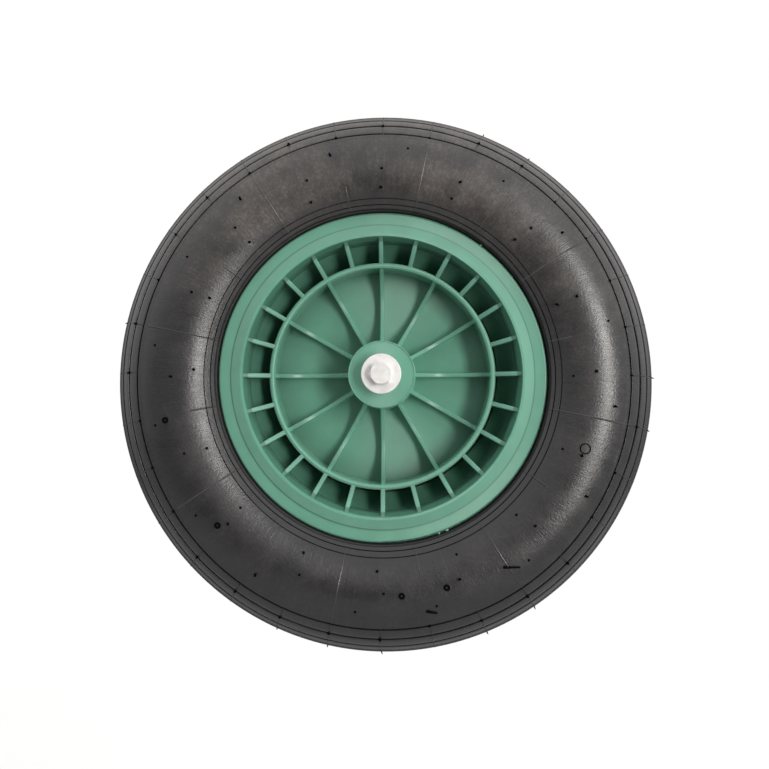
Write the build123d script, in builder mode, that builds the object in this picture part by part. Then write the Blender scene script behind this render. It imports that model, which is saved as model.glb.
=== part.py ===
from build123d import *
import math
import os

os.makedirs("parts", exist_ok=True)

# Pneumatic wheel of a wheelbarrow: a ribbed tyre with its tube on a moulded, spoked rim,
# bushed on a steel sleeve and carried by its own axle bolt.
# The origin is the wheel's centre, the axle lies along Y and the bolt head faces -Y, the front.
# Radii are measured from the axle, and "front" values from the middle plane of the wheel.

# Tyre
tyre_diameter = 400.0
tyre_section = 97.0
crown_thickness = 9.0
sidewall_thickness = 4.6
tread_groove_count = 11
tread_groove_pitch = 11.65
tread_groove_width = 1.8
tread_groove_depth = 1.3
bead_width = 12.5
bead_toe_height = 1.5
bead_neck_wall = 5.0
bead_wire_radius = 2.0
bead_wire_lift = 5.5
bead_wire_inset = 5.6
bead_step_height = 0.7
bead_outer_step_rise = 6.4
bead_inner_step_rise = 2.1

# Inner tube
tube_wall = 1.8
tube_clearance = 0.4
tube_shoulder_rise = 7.2
tube_keel_inset = 2.0
tube_round = 4.0

# Rim barrel
rim_inner_width = 63.5
seat_drop = 1.0
seat_width = 15.25
well_depth = 12.5
well_width = 15.0
rim_wall = 4.0
flange_height = 17.0
flange_thickness = 3.25
flange_round = 1.5
seat_corner_round = 1.2
bead_fit = 0.05
flange_gap = 2.4

# Front lip of the barrel
lip_drop = 0.8
lip_rise = 3.6
lip_land = 1.6
lip_slope_rise = 2.4
step_offset = 8.5
step_height = 0.7
lip_wall_slope = 2.6
lip_round = 0.5

# Web, hub, middle ring and ribs
web_thickness = 4.0
hub_width = 80.0
hub_radius = 24.2
hub_round = 0.6
pocket_width = 18.7
ring_wall = 3.4
ring_front = 27.5
ring_round = 0.5
wall_draft = 1.5
foot_round = 2.5
spoke_count = 12
spoke_end_thickness = 3.6
spoke_waist_thickness = 3.2
spoke_hub_front = 24.0
spoke_dip_front = 9.5
spoke_dip_inset = 1.65
spoke_ring_front = 25.0
pocket_rib_count = 24
pocket_rib_thickness = 3.7
rib_draft = 0.4
rib_root = 2.0
rib_round = 0.8

# Axle
bolt_diameter = 10.0
bolt_free_end = 15.1
bolt_end_chamfer = 1.0
spanner_margin = 5.0
bolt_head_height = 6.4
bolt_head_turn = 9.0
thread_pitch = 1.5
thread_run_out = 0.3
hex_chamfer_angle = 30.0
washer_diameter = 28.5
washer_thickness = 2.5
washer_edge = 0.4
washer_clearance = 0.25
sleeve_clearance = 0.2
sleeve_wall = 1.8
sleeve_stand_out = 9.0
bush_wall = 2.8
bush_length = 26.0
bush_flange_width = 3.15
bush_flange_thickness = 2.0
bush_running_fit = 0.05
bush_press_fit = 0.03
nut_height = 11.9
nut_hex_height = 8.0
nut_collar_wall = 0.8
nut_lip = 0.8
nut_insert_thickness = 3.0
nut_insert_wall = 1.5
thread_fit = 0.05

# Valve, on the rear side
valve_angle = 97.5
valve_inset = 9.0
stem_wall = 1.05
stem_hole_clearance = 0.3
stem_root_inset = 4.5
stem_foot = 5.5
stem_length = 19.0
air_passage_radius = 1.4
insert_wall = 0.55
insert_thread_radius = 3.85
insert_thread_length = 11.0
insert_bore_lead = 6.6
core_radius = 2.4
core_head_radius = 2.7
core_head_length = 3.6
core_length = 14.0
core_inset = 1.4
core_floor = 3.0
core_spring_bore = 1.75
valve_fit = 0.05
pin_radius = 0.7
pin_running_fit = 0.1
pin_stand_out = 0.8
pin_collar_radius = 1.45
pin_collar_inset = 2.6
pin_collar_height = 0.6
pin_rivet_radius = 1.2
pin_rivet_height = 0.7
seal_radius = 1.9
seal_thickness = 2.1
spring_coil_radius = 1.2
spring_wire_radius = 0.2
spring_turns = 5
cap_wall = 1.05
cap_wall_clearance = 0.1
cap_gap = 1.0
cap_room = 1.5
cap_top = 2.5
cap_flute_count = 14
cap_flute_radius = 0.5
cap_round = 1.0

# Sizes worked out from the ones above
tyre_radius = tyre_diameter / 2
section_radius = tyre_section / 2
section_centre = tyre_radius - section_radius
cavity_radius = section_radius - sidewall_thickness
cavity_centre = tyre_radius - crown_thickness - cavity_radius
tube_radius = cavity_radius - tube_clearance

seat_radius = tyre_radius - tyre_section - seat_drop
well_radius = seat_radius - well_depth
flange_radius = seat_radius + flange_height
lip_radius = seat_radius - lip_drop
step_radius = lip_radius + step_offset
ring_radius = lip_radius - pocket_width
seat_front = rim_inner_width / 2
seat_back = seat_front - seat_width
well_front = well_width / 2
flange_front = seat_front + flange_thickness
lip_front = flange_front + lip_rise
web_front = web_thickness / 2
hub_front = hub_width / 2

bolt_radius = bolt_diameter / 2
sleeve_bore = bolt_radius + sleeve_clearance
sleeve_radius = sleeve_bore + sleeve_wall
bush_bore = sleeve_radius + bush_running_fit
bush_radius = bush_bore + bush_wall
hub_bore = bush_radius + bush_press_fit
bush_flange_radius = bush_radius + bush_flange_width
bush_flange_pocket = bush_flange_radius + bush_press_fit
axle_face = hub_front + sleeve_stand_out
washer_face = axle_face + washer_thickness
washer_bore = bolt_radius + washer_clearance
spanner_size = bolt_diameter + spanner_margin
bolt_length = 2 * washer_face + nut_height + bolt_free_end
thread_pitch_radius = bolt_radius - 0.3248 * thread_pitch
nut_bore = thread_pitch_radius + thread_fit

# A section through the axle: x is the radius and y the distance in front of the middle plane
section = Plane(origin=(0, 0, 0), x_dir=(1, 0, 0), z_dir=(0, 0, -1))

# The valve stands parallel to the axle, in a pocket of the rear side, and its sizes follow from stem to cap
valve_radius = seat_radius - valve_inset
stem_bore_start = seat_back - stem_root_inset
stem_start = stem_bore_start - stem_foot
stem_end = stem_bore_start + stem_length
insert_end = stem_end + insert_thread_length
core_end = insert_end - core_inset
core_shoulder = core_end - core_head_length
core_start = core_end - core_length
insert_bore_start = core_start - insert_bore_lead
pin_end = core_end + pin_stand_out
pin_collar_front = core_end - pin_collar_inset
cap_start = stem_end + cap_gap
cap_depth = insert_end + cap_room - cap_start
cap_end = cap_start + cap_depth + cap_top
insert_root_radius = core_radius + valve_fit + insert_wall
stem_radius = insert_root_radius + valve_fit + stem_wall
cap_radius = insert_thread_radius + cap_wall_clearance + cap_wall
valve_cos = math.cos(math.radians(valve_angle))
valve_sin = math.sin(math.radians(valve_angle))
valve_point = (valve_radius * valve_cos, 0, valve_radius * valve_sin)
valve_face = Plane(origin=valve_point, x_dir=(valve_cos, 0, valve_sin), z_dir=(0, 1, 0))
valve_section = Plane(origin=valve_point, x_dir=(valve_cos, 0, valve_sin), z_dir=(-valve_sin, 0, valve_cos))
valve_axis = Axis(valve_point, (0, 1, 0))


def drafted(radius, height):
    """Radius at the foot of a moulded wall that leans outwards over a height."""
    return radius + height * math.tan(math.radians(wall_draft))


# The tube's outline: a round body that narrows between the beads to a keel in the well of the rim
sidewall_foot_radius = flange_radius + flange_gap
tube_shoulder_radius = sidewall_foot_radius + tube_shoulder_rise
tube_shoulder_angle = math.degrees(math.acos((tube_shoulder_radius - cavity_centre) / tube_radius))


def tube_outline(growth):
    """Sketch of the tube's section, grown by a distance."""
    with BuildSketch(section) as outline:
        with BuildLine():
            body = CenterArc((cavity_centre, 0), tube_radius, 0, tube_shoulder_angle)
            Polyline(
                body @ 1,
                (sidewall_foot_radius, seat_front - bead_neck_wall - tube_clearance),
                (seat_radius + bead_toe_height, seat_front - bead_width - tube_clearance),
                (seat_radius, seat_back - tube_keel_inset),
                (well_radius + tube_clearance, well_front - tube_keel_inset),
                (well_radius + tube_clearance, 0),
                body @ 0,
            )
        make_face()
        corners = outline.vertices().filter_by(lambda v: v.Y > 0).sort_by(Axis.X)
        fillet(corners[0:3], tube_round)
        mirror(about=Plane.XZ)
        if growth:
            offset(amount=growth, mode=Mode.REPLACE)
    return outline


def sidewall_angle(radius, lift):
    """Angle round the tyre's section at which the sidewall, lifted by a distance, has a radius."""
    return math.degrees(math.acos((radius - section_centre) / (section_radius + lift)))


# Tyre: round section, grooved crown, two low steps above each bead, and beads that sit on the rim
bead_face = seat_radius + bead_fit
bead_heel = seat_front - bead_fit
outer_step_radius = sidewall_foot_radius + bead_outer_step_rise
inner_step_radius = sidewall_foot_radius + bead_inner_step_rise
inner_step_lift = 2 * bead_step_height
groove_span = tread_groove_pitch * (tread_groove_count - 1)
wire_radius = bead_face + bead_wire_lift
wire_front = bead_heel - bead_wire_inset

with BuildPart() as tyre:
    with BuildSketch(section):
        with BuildLine():
            Polyline(
                (bead_face, 0),
                (bead_face, bead_heel - seat_corner_round),
                (bead_face + seat_corner_round, bead_heel),
                (flange_radius - flange_round, bead_heel),
            )
            flange_wrap = CenterArc(
                (flange_radius - flange_round, seat_front + flange_round), flange_round + bead_fit, -90, 90
            )
            sidewall = CenterArc((section_centre, 0), section_radius, 0, sidewall_angle(outer_step_radius, 0))
            outer_step = CenterArc(
                (section_centre, 0), section_radius + bead_step_height,
                sidewall_angle(outer_step_radius, bead_step_height),
                sidewall_angle(inner_step_radius, bead_step_height)
                - sidewall_angle(outer_step_radius, bead_step_height),
            )
            inner_step = CenterArc(
                (section_centre, 0), section_radius + inner_step_lift,
                sidewall_angle(inner_step_radius, inner_step_lift),
                sidewall_angle(sidewall_foot_radius, inner_step_lift)
                - sidewall_angle(inner_step_radius, inner_step_lift),
            )
            Line(sidewall @ 1, outer_step @ 0)
            Line(outer_step @ 1, inner_step @ 0)
            Line(inner_step @ 1, flange_wrap @ 1)
            Line((tyre_radius, 0), (bead_face, 0))
        make_face()
        mirror(about=Plane.XZ)
        add(tube_outline(tube_clearance).sketch_local, mode=Mode.SUBTRACT)
        with Locations((section_centre, 0)):
            with PolarLocations(section_radius, tread_groove_count, -groove_span / 2, groove_span, endpoint=True):
                Rectangle(2 * tread_groove_depth, tread_groove_width, mode=Mode.SUBTRACT)
        with Locations((wire_radius, wire_front), (wire_radius, -wire_front)):
            Circle(bead_wire_radius + bead_fit, mode=Mode.SUBTRACT)
    revolve(axis=Axis.Y)
tyre.part.label = "tyre"
export_step(tyre.part, "parts/tyre.step")

# Bead wires: one hoop of steel wire moulded into each bead
for side, facing in (("front", 1), ("rear", -1)):
    with BuildPart() as bead_wire:
        with BuildSketch(section):
            with Locations((wire_radius, facing * wire_front)):
                Circle(bead_wire_radius)
        revolve(axis=Axis.Y)
    bead_wire.part.label = f"bead_wire_{side}"
    export_step(bead_wire.part, f"parts/bead_wire_{side}.step")

# Inner tube: a thin hollow ring with an air hole under the valve
with BuildPart() as inner_tube:
    with BuildSketch(section):
        add(tube_outline(0).sketch_local)
        add(tube_outline(-tube_wall).sketch_local, mode=Mode.SUBTRACT)
    revolve(axis=Axis.Y)
    with BuildSketch(valve_face):
        Circle(air_passage_radius)
    extrude(amount=stem_bore_start, mode=Mode.SUBTRACT)
inner_tube.part.label = "inner_tube"
export_step(inner_tube.part, "parts/inner_tube.step")

# Spokes: ribs of the web whose upper edges dip in a hollow arc between the hub and the middle ring
ring_inner = ring_radius - ring_wall
spoke_dip_radius = (hub_radius + ring_inner) / 2 - spoke_dip_inset
spoke_start = hub_radius - rib_root
spoke_finish = ring_inner + rib_root
spoke_plan = (
    (spoke_start, -spoke_end_thickness / 2),
    (spoke_dip_radius, -spoke_waist_thickness / 2),
    (spoke_finish, -spoke_end_thickness / 2),
    (spoke_finish, spoke_end_thickness / 2),
    (spoke_dip_radius, spoke_waist_thickness / 2),
    (spoke_start, spoke_end_thickness / 2),
)

with BuildPart() as spoke_envelope:
    with BuildSketch(section):
        with BuildLine():
            hollow = ThreePointArc(
                (spoke_start, spoke_hub_front),
                (spoke_dip_radius, spoke_dip_front),
                (spoke_finish, spoke_ring_front),
            )
            Polyline(hollow @ 1, (spoke_finish, 0), (spoke_start, 0), hollow @ 0)
        make_face()
    revolve(axis=Axis.Y)

with BuildPart() as spokes:
    with BuildSketch(Plane.XZ):
        with PolarLocations(0, spoke_count):
            Polygon(*spoke_plan, align=None)
    extrude(amount=ring_front, taper=rib_draft)
    add(spoke_envelope.part, mode=Mode.INTERSECT)
    upper_edges = spokes.faces().filter_by(GeomType.TORUS).edges().filter_by(lambda e: e.length > spoke_start)
    fillet(upper_edges, rib_round)

# Pocket ribs: short ribs between the middle ring and the lip, rooted half a wall deep in the barrel
slope_run = seat_radius - well_radius
slope_rise = seat_back - well_front
slope_length = math.hypot(slope_run, slope_rise)
wall_in = rim_wall * slope_rise / slope_length
wall_up = rim_wall * slope_run / slope_length
well_inner = well_radius - rim_wall
barrel_inner = seat_radius - rim_wall
slope_grade = slope_rise / slope_run
inner_slope_offset = well_front + wall_up - slope_grade * (well_radius - wall_in)
well_inner_front = inner_slope_offset + slope_grade * well_inner
barrel_inner_front = inner_slope_offset + slope_grade * barrel_inner
lip_wall_radius = lip_radius - lip_wall_slope

with BuildPart() as pocket_envelope:
    with BuildSketch(section):
        with BuildLine():
            Polyline(
                (ring_radius - rib_root, 0),
                (ring_radius - rib_root, ring_front - ring_round),
                (lip_radius + lip_round, lip_front - lip_round * 2),
                (barrel_inner + rim_wall / 2, seat_front),
                (barrel_inner + rim_wall / 2, barrel_inner_front - wall_up / 2),
                (well_inner + rim_wall / 2, well_inner_front - wall_up / 2),
                (well_inner + rim_wall / 2, 0),
                close=True,
            )
        make_face()
    revolve(axis=Axis.Y)

with BuildPart() as pocket_ribs:
    with BuildSketch(Plane.XZ):
        with PolarLocations(0, pocket_rib_count):
            with Locations(((ring_radius + lip_radius) / 2, 0)):
                Rectangle(lip_radius - ring_radius + 2 * rib_root, pocket_rib_thickness)
    extrude(amount=max(ring_front, lip_front), taper=rib_draft)
    add(pocket_envelope.part, mode=Mode.INTERSECT)
    upper_faces = pocket_ribs.faces().filter_by(GeomType.CONE).group_by(SortBy.AREA)
    fillet(upper_faces[-1].edges().filter_by(lambda e: e.length > pocket_width / 2), rib_round)

# Rim: hub, web, middle ring and drop-centre barrel in one moulding, alike on both sides
hub_foot = drafted(hub_radius, hub_front - web_front)
ring_outer_foot = drafted(ring_radius, ring_front - web_front)
ring_inner_foot = ring_inner - (ring_outer_foot - ring_radius)

with BuildPart() as rim:
    with BuildSketch(section) as rim_section:
        with BuildLine():
            Polyline(
                (hub_bore, 0),
                (hub_bore, hub_front - bush_flange_thickness),
                (bush_flange_pocket, hub_front - bush_flange_thickness),
                (bush_flange_pocket, hub_front),
                (hub_radius, hub_front),
                (hub_foot, web_front),
                (ring_inner_foot, web_front),
                (ring_inner, ring_front),
                (ring_radius, ring_front),
                (ring_outer_foot, web_front),
                (well_inner, web_front),
                (well_inner, well_inner_front),
                (barrel_inner, barrel_inner_front),
                (lip_wall_radius, seat_front),
                (lip_radius, lip_front),
                (lip_radius + lip_land, lip_front),
                (step_radius, lip_front - lip_slope_rise),
                (step_radius, lip_front - lip_slope_rise - step_height),
                (flange_radius, flange_front),
                (flange_radius, seat_front),
                (seat_radius, seat_front),
                (seat_radius, seat_back),
                (well_radius, well_front),
                (well_radius, 0),
                close=True,
            )
        make_face()
        corners = rim_section.vertices()
        fillet(corners.filter_by(lambda v: abs(v.X - flange_radius) < 0.01), flange_round)
        fillet(corners.filter_by(lambda v: abs(v.Y - ring_front) < 0.01), ring_round)
        fillet(corners.filter_by(lambda v: abs(v.X - lip_radius) < 0.01 and v.Y > seat_front), lip_round)
        fillet(corners.filter_by(lambda v: abs(v.X - hub_radius) < 0.01), hub_round)
        fillet(corners.filter_by(lambda v: abs(v.X - hub_foot) < 0.01), foot_round)
        fillet(corners.filter_by(lambda v: abs(v.X - ring_inner_foot) < 0.01), foot_round)
        mirror(about=Plane.XZ)
    revolve(axis=Axis.Y)
    for ribs in (spokes, pocket_ribs):
        add(ribs.part)
        mirror(ribs.part, about=Plane.XZ)
    with BuildSketch(valve_face.offset(stem_start - stem_hole_clearance)):
        Circle(stem_radius + stem_hole_clearance)
    extrude(amount=stem_end - stem_start, mode=Mode.SUBTRACT)
rim.part.label = "rim"
export_step(rim.part, "parts/rim.step")

# Hub bushes: flanged plain bearings pressed into the two ends of the hub
for side, facing in (("front", 1), ("rear", -1)):
    with BuildPart() as hub_bush:
        with BuildSketch(section):
            with BuildLine():
                Polyline(
                    (bush_bore, facing * hub_front),
                    (bush_flange_radius, facing * hub_front),
                    (bush_flange_radius, facing * (hub_front - bush_flange_thickness)),
                    (bush_radius, facing * (hub_front - bush_flange_thickness)),
                    (bush_radius, facing * (hub_front - bush_length)),
                    (bush_bore, facing * (hub_front - bush_length)),
                    close=True,
                )
            make_face()
        revolve(axis=Axis.Y)
    hub_bush.part.label = f"hub_bush_{side}"
    export_step(hub_bush.part, f"parts/hub_bush_{side}.step")

# Axle sleeve: the tube that takes the clamping force of the bolt past the hub
with BuildPart() as axle_sleeve:
    with BuildSketch(Plane.XZ):
        Circle(sleeve_radius)
        Circle(sleeve_bore, mode=Mode.SUBTRACT)
    extrude(amount=axle_face, both=True)
axle_sleeve.part.label = "axle_sleeve"
export_step(axle_sleeve.part, "parts/axle_sleeve.step")

# Axle washers: wide flat washers at the two ends of the sleeve
for side, start in (("front", axle_face), ("rear", -washer_face)):
    with BuildPart() as washer:
        with BuildSketch(Plane.XZ.offset(start)):
            Circle(washer_diameter / 2)
            Circle(washer_bore, mode=Mode.SUBTRACT)
        extrude(amount=washer_thickness)
        fillet(washer.edges().filter_by(GeomType.CIRCLE).group_by(SortBy.RADIUS)[-1], washer_edge)
    washer.part.label = f"{side}_washer"
    export_step(washer.part, f"parts/{side}_washer.step")

# Axle bolt: hexagon head with its turned chamfer, and a shank of the thread's outside size
# that is cut to the thread's pitch line where the nut engages it
hex_corner_radius = spanner_size / math.sqrt(3)
hex_chamfer_drop = (hex_corner_radius - spanner_size / 2) * math.tan(math.radians(hex_chamfer_angle))
bolt_top = washer_face + bolt_head_height

with BuildPart() as axle_bolt:
    with BuildSketch(Plane.XZ.offset(washer_face)):
        RegularPolygon(spanner_size / 2, 6, major_radius=False, rotation=bolt_head_turn)
    extrude(amount=bolt_head_height)
    with BuildSketch(section):
        with BuildLine():
            Polyline(
                (0, washer_face),
                (hex_corner_radius, washer_face),
                (hex_corner_radius, bolt_top - hex_chamfer_drop),
                (spanner_size / 2, bolt_top),
                (0, bolt_top),
                close=True,
            )
        make_face()
    revolve(axis=Axis.Y, mode=Mode.INTERSECT)
    with BuildSketch(Plane.XZ.offset(washer_face)):
        Circle(bolt_radius)
    extrude(amount=-bolt_length)
    chamfer(axle_bolt.faces().sort_by(Axis.Y)[-1].edges(), bolt_end_chamfer)
    with BuildSketch(Plane.XZ.offset(-washer_face)):
        Circle(bolt_radius)
        Circle(thread_pitch_radius, mode=Mode.SUBTRACT)
    extrude(amount=-nut_height - thread_run_out, mode=Mode.SUBTRACT)
axle_bolt.part.label = "axle_bolt"
export_step(axle_bolt.part, "parts/axle_bolt.step")

# Axle nut: a lock nut with a collar that holds a plastic ring
nut_start = washer_face
nut_end = nut_start + nut_height
nut_insert_radius = bolt_radius + thread_fit + nut_insert_wall
nut_collar_radius = nut_insert_radius + thread_fit + nut_collar_wall
nut_insert_end = nut_end - nut_lip
nut_insert_start = nut_insert_end - nut_insert_thickness

with BuildPart() as axle_nut:
    with BuildSketch(Plane.XZ.offset(-nut_start)):
        RegularPolygon(spanner_size / 2, 6, major_radius=False)
    extrude(amount=-nut_hex_height)
    with BuildSketch(section):
        with BuildLine():
            Polyline(
                (0, -nut_start),
                (spanner_size / 2, -nut_start),
                (hex_corner_radius, -nut_start - hex_chamfer_drop),
                (hex_corner_radius, -nut_start - nut_hex_height + hex_chamfer_drop),
                (spanner_size / 2, -nut_start - nut_hex_height),
                (0, -nut_start - nut_hex_height),
                close=True,
            )
        make_face()
    revolve(axis=Axis.Y, mode=Mode.INTERSECT)
    with BuildSketch(Plane.XZ.offset(-nut_start)):
        Circle(nut_collar_radius)
    extrude(amount=-nut_height)
    fillet(axle_nut.faces().sort_by(Axis.Y)[-1].edges(), nut_lip)
    with BuildSketch(section):
        with BuildLine():
            Polyline(
                (0, -nut_start),
                (nut_bore, -nut_start),
                (nut_bore, -nut_insert_start),
                (nut_insert_radius + thread_fit, -nut_insert_start),
                (nut_insert_radius + thread_fit, -nut_insert_end),
                (bolt_radius + nut_insert_wall / 2, -nut_end),
                (0, -nut_end),
                close=True,
            )
        make_face()
    revolve(axis=Axis.Y, mode=Mode.SUBTRACT)
axle_nut.part.label = "axle_nut"
export_step(axle_nut.part, "parts/axle_nut.step")

# Nut insert: the plastic ring that grips the thread
with BuildPart() as nut_insert:
    with BuildSketch(Plane.XZ.offset(-nut_insert_start - thread_fit)):
        Circle(nut_insert_radius)
        Circle(nut_bore, mode=Mode.SUBTRACT)
    extrude(amount=-(nut_insert_thickness - 2 * thread_fit))
nut_insert.part.label = "nut_insert"
export_step(nut_insert.part, "parts/nut_insert.step")

# Valve stem: a rubber sleeve that grows out of the tube and passes through the barrel
with BuildPart() as tube_space:
    add(tube_outline(valve_fit).sketch)
    revolve(axis=Axis.Y)

with BuildPart() as valve_stem:
    with BuildSketch(valve_section):
        with BuildLine():
            Polyline(
                (air_passage_radius, stem_start),
                (stem_radius, stem_start),
                (stem_radius, stem_end),
                (insert_root_radius + valve_fit, stem_end),
                (insert_root_radius + valve_fit, stem_bore_start),
                (air_passage_radius, stem_bore_start),
                close=True,
            )
        make_face()
    revolve(axis=valve_axis)
    add(tube_space.part, mode=Mode.SUBTRACT)
valve_stem.part.label = "valve_stem"
export_step(valve_stem.part, "parts/valve_stem.step")

# Valve insert: the brass tube inside the stem, threaded for the cap and bored for the core
core_bore = core_radius + valve_fit
core_head_bore = core_head_radius + valve_fit

with BuildPart() as valve_insert:
    with BuildSketch(valve_section):
        with BuildLine():
            Polyline(
                (air_passage_radius, stem_bore_start + valve_fit),
                (insert_root_radius, stem_bore_start + valve_fit),
                (insert_root_radius, stem_end + valve_fit),
                (insert_thread_radius, stem_end + valve_fit),
                (insert_thread_radius, insert_end),
                (core_head_bore, insert_end),
                (core_head_bore, core_shoulder - valve_fit),
                (core_bore, core_shoulder - valve_fit),
                (core_bore, insert_bore_start),
                (air_passage_radius, insert_bore_start),
                close=True,
            )
        make_face()
    revolve(axis=valve_axis)
valve_insert.part.label = "valve_insert"
export_step(valve_insert.part, "parts/valve_insert.step")

# Valve core: the screwed-in barrel that the pin slides in
with BuildPart() as valve_core:
    with BuildSketch(valve_section):
        with BuildLine():
            Polyline(
                (pin_radius + pin_running_fit, core_start),
                (core_radius, core_start),
                (core_radius, core_shoulder),
                (core_head_radius, core_shoulder),
                (core_head_radius, core_end),
                (core_spring_bore, core_end),
                (core_spring_bore, core_start + core_floor),
                (pin_radius + pin_running_fit, core_start + core_floor),
                close=True,
            )
        make_face()
    revolve(axis=valve_axis)
valve_core.part.label = "valve_core"
export_step(valve_core.part, "parts/valve_core.step")

# Valve pin: pressed inwards to let air through, with a collar for the spring and a riveted foot
seal_end = core_start - pin_running_fit
seal_start = seal_end - seal_thickness

with BuildPart() as valve_pin:
    with BuildSketch(valve_section):
        with BuildLine():
            Polyline(
                (0, seal_start - valve_fit - pin_rivet_height),
                (pin_rivet_radius, seal_start - valve_fit - pin_rivet_height),
                (pin_rivet_radius, seal_start - valve_fit),
                (pin_radius, seal_start - valve_fit),
                (pin_radius, pin_collar_front),
                (pin_collar_radius, pin_collar_front),
                (pin_collar_radius, pin_collar_front + pin_collar_height),
                (pin_radius, pin_collar_front + pin_collar_height),
                (pin_radius, pin_end),
                (0, pin_end),
                close=True,
            )
        make_face()
    revolve(axis=valve_axis)
valve_pin.part.label = "valve_pin"
export_step(valve_pin.part, "parts/valve_pin.step")

# Valve seal: the rubber washer on the pin that closes the core from below
with BuildPart() as valve_seal:
    with BuildSketch(valve_face.offset(seal_start)):
        Circle(seal_radius)
        Circle(pin_radius + valve_fit, mode=Mode.SUBTRACT)
    extrude(amount=seal_thickness)
valve_seal.part.label = "valve_seal"
export_step(valve_seal.part, "parts/valve_seal.step")

# Valve spring: a coil between the floor of the core and the collar of the pin
spring_start = core_start + core_floor + spring_wire_radius + valve_fit
spring_height = pin_collar_front - valve_fit - spring_wire_radius - spring_start

with BuildPart() as valve_spring:
    with BuildLine(valve_face.offset(spring_start)):
        coil = Helix(spring_height / spring_turns, spring_height, spring_coil_radius, direction=(0, 1, 0))
    with BuildSketch(Plane(origin=coil @ 0, z_dir=coil % 0)):
        Circle(spring_wire_radius)
    sweep(path=coil)
valve_spring.part.label = "valve_spring"
export_step(valve_spring.part, "parts/valve_spring.step")

# Valve cap: a fluted cup screwed over the brass thread
with BuildPart() as valve_cap:
    with BuildSketch(valve_face.offset(cap_start)):
        Circle(cap_radius)
    extrude(amount=cap_end - cap_start)
    fillet(valve_cap.faces().sort_by(Axis.Y)[-1].edges(), cap_round)
    with BuildSketch(valve_face.offset(cap_start)):
        with PolarLocations(cap_radius, cap_flute_count):
            Circle(cap_flute_radius)
    extrude(amount=cap_depth, mode=Mode.SUBTRACT)
    with BuildSketch(valve_face.offset(cap_start)):
        Circle(insert_thread_radius + cap_wall_clearance)
    extrude(amount=cap_depth, mode=Mode.SUBTRACT)
valve_cap.part.label = "valve_cap"
export_step(valve_cap.part, "parts/valve_cap.step")
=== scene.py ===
import math
import random

import bmesh
import bpy
from bpy.props import FloatProperty, FloatVectorProperty, IntProperty, PointerProperty
from mathutils import Matrix, Vector


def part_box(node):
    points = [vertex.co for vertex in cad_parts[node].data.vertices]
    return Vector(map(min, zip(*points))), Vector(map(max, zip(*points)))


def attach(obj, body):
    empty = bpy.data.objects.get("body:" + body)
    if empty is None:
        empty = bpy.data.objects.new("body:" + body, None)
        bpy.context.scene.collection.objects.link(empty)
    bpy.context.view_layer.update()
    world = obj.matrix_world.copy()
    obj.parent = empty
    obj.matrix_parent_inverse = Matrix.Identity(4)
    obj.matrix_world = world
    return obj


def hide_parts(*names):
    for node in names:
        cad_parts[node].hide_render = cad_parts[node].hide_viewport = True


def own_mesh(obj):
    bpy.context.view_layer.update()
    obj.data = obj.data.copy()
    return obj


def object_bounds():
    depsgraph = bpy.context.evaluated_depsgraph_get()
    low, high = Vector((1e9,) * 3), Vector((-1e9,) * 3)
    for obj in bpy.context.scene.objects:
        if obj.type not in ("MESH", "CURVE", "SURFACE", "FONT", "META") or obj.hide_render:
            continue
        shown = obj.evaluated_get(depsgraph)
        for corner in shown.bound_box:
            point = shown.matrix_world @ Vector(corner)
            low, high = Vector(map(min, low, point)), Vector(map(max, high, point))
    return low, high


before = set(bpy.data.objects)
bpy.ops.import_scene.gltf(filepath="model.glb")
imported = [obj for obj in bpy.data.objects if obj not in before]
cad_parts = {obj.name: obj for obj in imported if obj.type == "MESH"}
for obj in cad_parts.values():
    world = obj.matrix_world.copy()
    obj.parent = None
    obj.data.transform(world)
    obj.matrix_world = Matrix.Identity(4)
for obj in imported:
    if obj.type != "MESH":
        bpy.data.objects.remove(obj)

bl_info = {
    "name": "Wheelbarrow Wheel",
    "version": (1, 0, 0),
    "blender": (4, 5, 0),
    "location": "View3D > Sidebar > Wheel",
    "description": "Finishes a wheelbarrow wheel: tyre, rim, axle, valve and studio",
    "category": "Object",
}

# Lengths are in metres and angles in radians. The axle lies along Y, and the front of the wheel faces -Y.
# An angle round the wheel runs from +X towards +Z, which is anticlockwise seen from the front.
MM = 0.001
TURN = math.tau
CAD_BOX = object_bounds()
MERGE_DISTANCE = 0.002 * MM
# Angles round the tyre's section that one step of the mesh takes up
ARC_STEP = math.radians(2.6)
LINE_STEP = math.radians(4.0)
LIP_SLOPE = math.radians(2.0)


def angle(name, description, degrees):
    """Property for an angle, given in degrees."""
    return FloatProperty(name=name, description=description, default=math.radians(degrees), subtype="ANGLE")


def length(name, description, millimetres):
    """Property for a length, given in millimetres."""
    return FloatProperty(
        name=name, description=description, default=millimetres * MM, unit="LENGTH", precision=5)


def number(name, description, value):
    """Property for a plain number."""
    return FloatProperty(name=name, description=description, default=value, precision=3)


def count(name, description, value):
    """Property for a count."""
    return IntProperty(name=name, description=description, default=value, min=1)


def colour(name, description, value):
    """Property for a colour."""
    return FloatVectorProperty(name=name, description=description, default=value, subtype="COLOR", min=0.0, max=1.0)


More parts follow.
